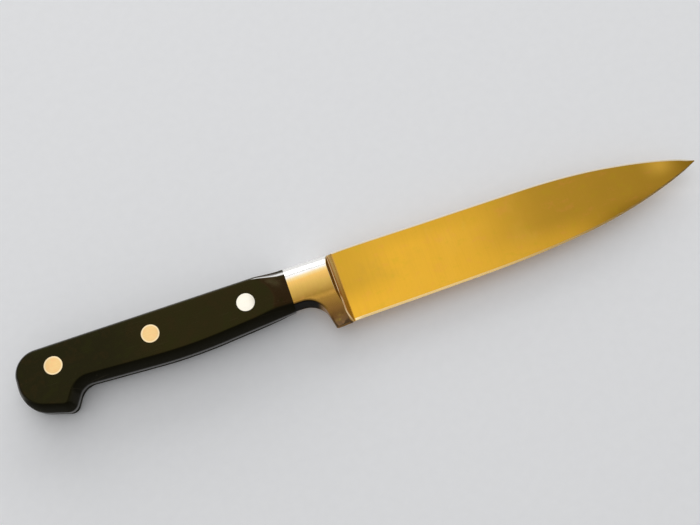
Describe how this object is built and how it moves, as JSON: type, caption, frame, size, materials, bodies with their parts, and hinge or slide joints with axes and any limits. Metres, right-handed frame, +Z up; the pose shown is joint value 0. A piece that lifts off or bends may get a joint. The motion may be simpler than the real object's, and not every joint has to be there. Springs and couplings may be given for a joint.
{
  "type": "paring knife",
  "caption": "Forged full-tang paring knife: pointed blade, bolster with finger guard, riveted black handle scales with a hooked butt.",
  "frame": {"origin": "on the surface the knife lies on, under the middle of its whole length and width", "axes": "+X along the knife to the blade's tip, +Y from the cutting edge towards the spine, +Z up, square to the blade's flat side"},
  "size_m": [0.2314, 0.0246, 0.014],
  "materials": {
    "blade_steel": "satin ground stainless steel that mirrors a warm golden light",
    "black_scale": "moulded black plastic, polished, with fine scratches",
    "rivet_metal": "bright metal, ground flush with the scale"
  },
  "bodies": {
    "root": {"forged_blade": "blade_steel", "right_scale": "black_scale", "left_scale": "black_scale", "front_rivet_sleeve": "rivet_metal", "front_rivet_post": "rivet_metal", "middle_rivet_sleeve": "rivet_metal", "middle_rivet_post": "rivet_metal", "rear_rivet_sleeve": "rivet_metal", "rear_rivet_post": "rivet_metal"}
  },
  "joints": []
}
